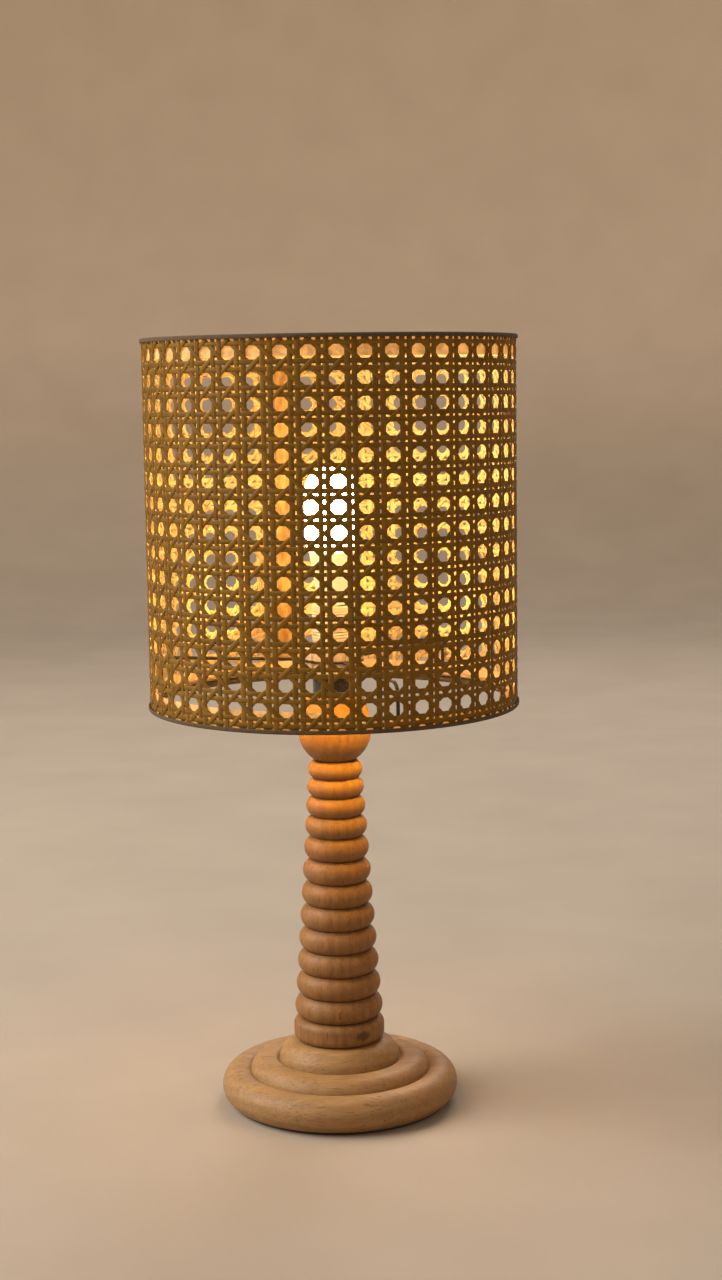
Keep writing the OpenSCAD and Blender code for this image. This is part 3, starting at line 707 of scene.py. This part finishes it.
def folded_tape(name, node, upward):
    """A tape folded over one edge: down the outside, round two folds and up the inside."""
    low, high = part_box(node)
    outer_r = high.x
    inner_h = high.z - low.z
    lining_bore = lining_r - LINING_T
    inner_r = lining_bore - TAPE_GAP - TAPE_T
    half = TAPE_T / 2
    outer_fold = (outer_r - TAPE_FOLD_R, TAPE_FOLD_R)
    inner_fold = (inner_r + TAPE_FOLD_R, TAPE_FOLD_R)
    inside_r = TAPE_FOLD_R - TAPE_T
    profile = np.concatenate([
        arc((outer_r - half, TAPE_OUTER_H - half), half, 180, 0, FOLD_STEPS),
        arc(outer_fold, TAPE_FOLD_R, 0, -90, FOLD_STEPS),
        arc(inner_fold, TAPE_FOLD_R, 270, 180, FOLD_STEPS),
        arc((inner_r + half, inner_h - half), half, 180, 0, FOLD_STEPS),
        arc(inner_fold, inside_r, 180, 270, INSIDE_STEPS),
        arc(outer_fold, inside_r, -90, 0, INSIDE_STEPS),
    ])
    edge = low.z if upward else high.z
    direction = 1 if upward else -1
    height = edge + direction * profile[:, 1]
    outline = np.stack([profile[:, 0], height], axis=-1)
    if upward:
        outline = outline[::-1]
    piece = lathe(name, outline, TAPE_STEPS)
    turn = np.arange(TAPE_STEPS) * 2 * math.pi / TAPE_STEPS
    place = np.zeros((TAPE_STEPS, len(outline), 3))
    place[..., 0] = (turn * outer_r)[:, None]
    place[..., 1] = outline[:, 1]
    set_values(piece.data, "strand", "FLOAT_VECTOR", place)
    piece.data.materials.append(tape_look)
    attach(piece, "shade")
    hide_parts(node)


folded_tape("bottom_edge_tape", "bottom_trim", True)
folded_tape("top_edge_tape", "top_trim", False)


# Threads of the lampholder's skirt and the bulb's cap

def threaded_tube(name, node, inner, pitch, depth, body, material):
    """A tube with a rounded thread outside, plain at both ends. The inner outline runs from the top
    down, as points of (radius, distance below the top)."""
    low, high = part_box(node)
    crest = high.x
    rise = np.arange(0, high.z - low.z, pitch / PITCH_STEPS)
    rise = np.append(rise, high.z - low.z)
    turn = np.arange(THREAD_STEPS) * 2 * math.pi / THREAD_STEPS
    phase = rise[None, :] / pitch - turn[:, None] / (2 * math.pi)
    groove = 0.5 - 0.5 * np.cos(2 * math.pi * phase)
    from_low = np.clip((rise - PLAIN_LOW) / pitch, 0, 1)
    from_high = np.clip((high.z - low.z - PLAIN_HIGH - rise) / pitch, 0, 1)
    outer = crest - depth * groove * from_low * from_high
    height = np.broadcast_to(low.z + rise, outer.shape)
    bore_r, bore_depth = np.array(inner + [(inner[-1][0], high.z - low.z)]).T
    radius = np.concatenate([outer, np.tile(bore_r, (THREAD_STEPS, 1))], axis=1)
    height = np.concatenate([height, np.tile(high.z - bore_depth, (THREAD_STEPS, 1))], axis=1)
    points = np.stack([
        np.cos(turn)[:, None] * radius,
        np.sin(turn)[:, None] * radius,
        height
    ], axis=-1)
    faces = grid_faces(THREAD_STEPS, radius.shape[1], True, True)[:, ::-1]
    piece = mesh_object(name, points, faces.tolist())
    piece.data.materials.append(material)
    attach(piece, body)
    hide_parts(node)
    return piece


shell_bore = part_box("screw_shell")[1].x - SHELL_T
skirt_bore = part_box("holder_skirt")[1].x - HOLDER_WALL
skirt = threaded_tube("threaded_skirt", "holder_skirt",
                      [(shell_bore, 0), (shell_bore, LIP_T), (skirt_bore, LIP_T)],
                      HOLDER_PITCH, HOLDER_DEPTH, "stand", cream_plastic)
cap_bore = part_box("bulb_screw_cap")[1].x - BULB_DEPTH - CAP_T
cap = threaded_tube("threaded_cap", "bulb_screw_cap", [(cap_bore, 0)],
                    BULB_PITCH, BULB_DEPTH, "bulb", nickel)


# Stage, light and camera

def backdrop():
    """A pale floor that sweeps up all round, far from the lamp."""
    profile = np.concatenate([
        FLOOR_RINGS,
        arc((FLOOR_R, SWEEP_R), SWEEP_R, -90, 0, SWEEP_STEPS),
        [(FLOOR_R + SWEEP_R, FLOOR_TOP)]
    ])
    floor = lathe("floor", profile, FLOOR_STEPS, closed=False)
    look = Look("pale_floor", Roughness=0.9)
    grain = look.noise(look.coords, 7, 2.0)
    height = look.add("SeparateXYZ", {0: look.coords}).outputs["Z"]
    low = look.ramp(grain, [(0.3, rgb(0.38, 0.310, 0.238)), (0.7, rgb(0.41, 0.336, 0.260))])
    high = look.ramp(grain, [(0.3, rgb(0.66, 0.515, 0.370)), (0.7, rgb(0.70, 0.550, 0.400))])
    colour = look.mix(look.spread(height, 0.0, FLOOR_TONE_HEIGHT), low, high)
    floor.data.materials.append(look.finish(colour))


def area_light(name, place, aim, size, power, colour, spread=math.pi):
    """A round lamp that the camera doesn't see."""
    light = bpy.data.lights.new(name, "AREA")
    light.spread = spread
    light.shape = "DISK"
    light.size = size
    light.energy = power
    light.color = colour
    lamp = bpy.data.objects.new(name, light)
    lamp.location = place
    lamp.rotation_euler = (Vector(aim) - Vector(place)).to_track_quat("-Z", "Y").to_euler()
    lamp.visible_camera = False
    bpy.context.scene.collection.objects.link(lamp)
    return lamp


def glow_ring(name, ring_r, height, aim_r, aim_height, power, colour):
    """Warm light that the inside of the shade throws about, as a ring of small lamps."""
    for index in range(GLOW_COUNT):
        turn = index * 2 * math.pi / GLOW_COUNT
        out = Vector((math.cos(turn), math.sin(turn), 0))
        up = Vector((0, 0, 1))
        place = out * ring_r + up * height
        aim = out * aim_r + up * aim_height
        lamp = area_light(f"{name}_{index}", place, aim, GLOW_SIZE, power, colour, GLOW_SPREAD)
        lamp.visible_glossy = False


def surroundings():
    """Even soft light from all round."""
    world = bpy.data.worlds.new("studio")
    bpy.context.scene.world = world
    world.use_nodes = True
    background = world.node_tree.nodes["Background"]
    background.inputs["Color"].default_value = rgb(1.0, 0.98, 0.95)
    background.inputs["Strength"].default_value = SURROUND_LIGHT


def camera():
    """The photograph's view: where it was taken from, its tilt and its slight roll."""
    data = bpy.data.cameras.new("camera")
    data.sensor_width = SENSOR
    data.lens = FOCAL_PX / max(PHOTO_SIZE) * SENSOR
    data.clip_end = 50
    view = bpy.data.objects.new("camera", data)
    tilt = Matrix.Rotation(math.pi / 2 - CAMERA_PITCH, 4, "X")
    roll = Matrix.Rotation(-CAMERA_ROLL, 4, "Z")
    view.matrix_world = Matrix.Translation(CAMERA_AT) @ tilt @ roll
    bpy.context.scene.collection.objects.link(view)
    bpy.context.scene.camera = view


backdrop()
cup_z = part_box("holder_cup")[0].z
globe_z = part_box("bulb_globe")[0].z
area_light("key", place=(-2.2, -0.2, 1.8), aim=LAMP_MIDDLE,
           size=2.4, power=104, colour=(1.0, 0.96, 0.90))
area_light("fill", place=(1.7, -1.5, 1.5), aim=LAMP_MIDDLE,
           size=1.6, power=3, colour=(1.0, 0.96, 0.90))
area_light("back", place=(0.6, 2.0, 1.9), aim=LAMP_MIDDLE,
           size=1.4, power=24, colour=(1.0, 0.98, 0.96))
glow_ring("low_glow", ring_r=75 * MM, height=shade_z + 40 * MM,
          aim_r=0, aim_height=cup_z - 12 * MM, power=0.019, colour=(1.0, 0.56, 0.05))
glow_ring("high_glow", ring_r=80 * MM, height=globe_z + 50 * MM,
          aim_r=0, aim_height=globe_z - 30 * MM, power=0.011, colour=(1.0, 0.62, 0.22))
glow_ring("wall_glow", ring_r=40 * MM, height=shade_z + 75 * MM,
          aim_r=web_r, aim_height=shade_z + 60 * MM, power=0.03, colour=(1.0, 0.62, 0.26))
surroundings()
camera()
bpy.context.scene.view_settings.view_transform = "Standard"
